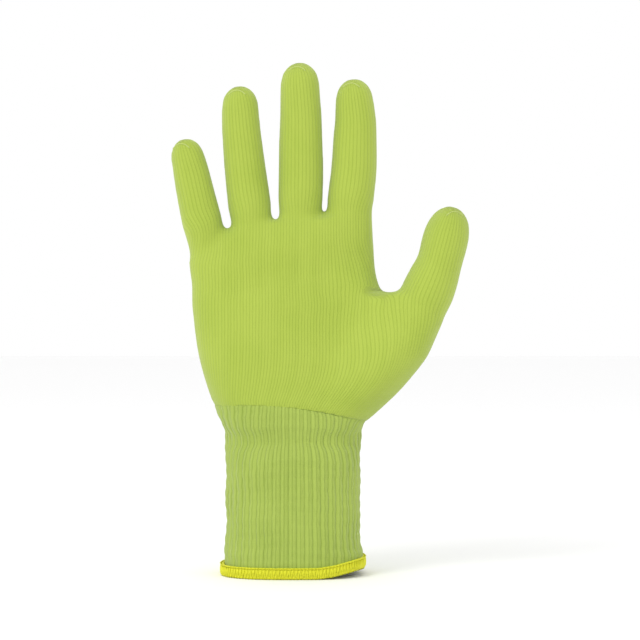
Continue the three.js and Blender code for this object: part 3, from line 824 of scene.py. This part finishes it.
# ---------------------------------------------------------------- the overlocked hem
# The cuff's raw edge is overlocked with yellow spun polyester: an upper looper thread zigzags
# over the outside, a lower one over the inside, and the needle thread runs along the top.
hem_tree = skin("hem_edge")
hem_low, hem_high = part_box("hem_edge")
HEM_COLS = 240
hem_turns = np.interp(np.arange(HEM_COLS) / HEM_COLS * lengths[-1], lengths, full_turn)
hem_centre = Vector(((hem_low.x + hem_high.x) / 2, (hem_low.y + hem_high.y) / 2, 0))
hem_out, hem_floor = [], []
for turn in hem_turns:
    way = Vector((math.cos(turn), -math.sin(turn), 0))
    best = 0
    for z in np.arange(1.5, 8.0, 0.5) * MM:
        hit = hem_tree.ray_cast(hem_centre + way * 0.08 + Vector((0, 0, z)), -way, 0.08)[0]
        if hit:
            best = max(best, (hit - hem_centre).dot(way))
    hem_out.append(best)
hem_out = soften(np.array([hem_out]), 0, 3)[0]
for turn, radius in zip(hem_turns, hem_out):
    way = Vector((math.cos(turn), -math.sin(turn), 0))
    below = hem_centre + way * (radius - 1.0 * MM) - Vector((0, 0, 0.02))
    hit = hem_tree.ray_cast(below, Vector((0, 0, 1)), 0.05)[0]
    hem_floor.append(hit.z if hit else 0)
hem_floor = soften(np.array([hem_floor]), 0, 4)[0]


def on_hem(share, up, out):
    """A point of the hem by its share of the way round, height and distance outwards."""
    col = (share % 1.0) * HEM_COLS
    a, b, f = int(col) % HEM_COLS, (int(col) + 1) % HEM_COLS, col - int(col)
    turn = hem_turns[a] + ((hem_turns[b] - hem_turns[a]) % (2 * math.pi)) * f
    radius = hem_out[a] * (1 - f) + hem_out[b] * f + out
    z = hem_floor[a] * (1 - f) + hem_floor[b] * f + up
    return (hem_centre.x + radius * math.cos(turn), hem_centre.y - radius * math.sin(turn), z)


# The bound edge's outline in millimetres: height, and distance out from the hem's face.
profile = [(0.3, -0.5), (0.1, -1.1), (0.35, -1.9), (1.2, -2.2), (4.6, -2.2), (5.4, -1.9), (5.7, -1.3),
           (5.4, -0.75), (4.6, -0.5), (2.8, -0.35), (1.2, -0.3)]
points, faces = [], []
for c in range(HEM_COLS):
    wobble = 0.12 * math.sin(c * 0.9) + 0.08 * math.sin(c * 2.3)
    for up, out in profile:
        points.append(on_hem(c / HEM_COLS, up * MM, (out + wobble * 0.4) * MM))
n = len(profile)
for c in range(HEM_COLS):
    d = (c + 1) % HEM_COLS
    for k in range(n):
        m = (k + 1) % n
        faces.append((c * n + k, d * n + k, d * n + m, c * n + m))
band = made("hem_band", points, faces)
band.data.polygons.foreach_set("use_smooth", np.ones(len(faces), dtype=bool))

STITCHES = 118
outer_path, inner_path, needle_path = [], [], []
for k in range(STITCHES):
    base = k / STITCHES
    pitch = 1 / STITCHES
    for share, up, out in ((0.0, 0.15, -0.55), (0.12, 0.9, -0.12), (0.3, 2.8, 0.0), (0.42, 4.6, -0.2),
                           (0.5, 5.3, -0.45), (0.58, 4.6, -0.2), (0.7, 2.8, 0.0), (0.88, 0.9, -0.12)):
        outer_path.append(on_hem(base + share * pitch, up * MM, out * MM))
    for share, up, out in ((0.0, 0.3, -1.9), (0.25, 2.4, -2.4), (0.5, 5.0, -2.2), (0.75, 2.4, -2.4)):
        inner_path.append(on_hem(base + share * pitch, up * MM, out * MM))
    for share, up, out in ((0.0, 5.35, -0.3), (0.35, 5.45, 0.05), (0.65, 5.45, 0.05), (0.99, 5.3, -0.4)):
        needle_path.append(on_hem(base + share * pitch, up * MM, out * MM))
yellow = bpy.data.materials.new("yellow_thread")
yellow.use_nodes = True
shader = yellow.node_tree.nodes["Principled BSDF"]
place = node(yellow.node_tree, "ShaderNodeTexCoord").outputs["Object"]
twist = node(yellow.node_tree, "ShaderNodeTexNoise", {"Vector": place, "Scale": 1100.0, "Detail": 3.0})
tint = node(yellow.node_tree, "ShaderNodeMix", {0: twist.outputs[0]}, data_type="RGBA")
tint.inputs[6].default_value = (0.60, 0.62, 0.012, 1)
tint.inputs[7].default_value = (0.86, 0.84, 0.03, 1)
yellow.node_tree.links.new(tint.outputs[2], shader.inputs["Base Color"])
ridges = node(yellow.node_tree, "ShaderNodeBump",
              {"Height": twist.outputs[0], "Strength": 0.5, "Distance": 0.2 * MM})
yellow.node_tree.links.new(ridges.outputs[0], shader.inputs["Normal"])
shader.inputs["Roughness"].default_value = 0.7
upper_looper = thread("upper_looper", outer_path, 0.33 * MM, closed=True, sides=5)
lower_looper = thread("lower_looper", inner_path, 0.3 * MM, closed=True, sides=5)
needle = thread("needle_thread", needle_path, 0.28 * MM, closed=True, sides=5)
for item, node_name in ((band, "hem_edge"), (upper_looper, "hem_upper_looper_thread"),
                        (lower_looper, "hem_lower_looper_thread"), (needle, "hem_needle_thread")):
    item.data.materials.append(yellow)
    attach(item, "cuff")
    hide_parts(node_name)

# ---------------------------------------------------------------- floor, light and camera
# The glove stands on a pale sweep under soft light from all round, brightest from the upper
# left, which leaves a faint shadow beside the hem.
white = bpy.data.materials.new("sweep")
white.use_nodes = True
white.node_tree.nodes["Principled BSDF"].inputs["Base Color"].default_value = (0.97, 0.97, 0.97, 1)
white.node_tree.nodes["Principled BSDF"].inputs["Roughness"].default_value = 0.95
bpy.ops.mesh.primitive_plane_add(size=12, location=(0, 0, 0))
floor = bpy.context.object
floor.name = "sweep"
floor.data.materials.append(white)

world = bpy.data.worlds.new("soft")
bpy.context.scene.world = world
world.use_nodes = True
world.node_tree.nodes["Background"].inputs[0].default_value = (1, 1, 1, 1)
world.node_tree.nodes["Background"].inputs[1].default_value = 1.0


def lamp(name, place, size, power):
    light = bpy.data.lights.new(name, "AREA")
    light.size = size
    light.energy = power
    item = bpy.data.objects.new(name, light)
    item.location = place
    item.rotation_euler = (Vector((0, 0, 0.13)) - Vector(place)).to_track_quat("-Z", "Y").to_euler()
    bpy.context.collection.objects.link(item)


lamp("key", (-0.9, -1.0, 1.3), 0.6, 9)
lamp("fill", (1.3, -0.9, 0.7), 0.9, 1.0)

lens = bpy.data.cameras.new("camera")
lens.lens = 112.5
lens.sensor_width = 36
lens.clip_start = 0.01
eye = bpy.data.objects.new("camera", lens)
eye.location = (0.0005, -1.0, 0.1268)
eye.rotation_euler = (math.pi / 2, 0, 0)
bpy.context.collection.objects.link(eye)
bpy.context.scene.camera = eye
bpy.context.scene.view_settings.view_transform = "Standard"
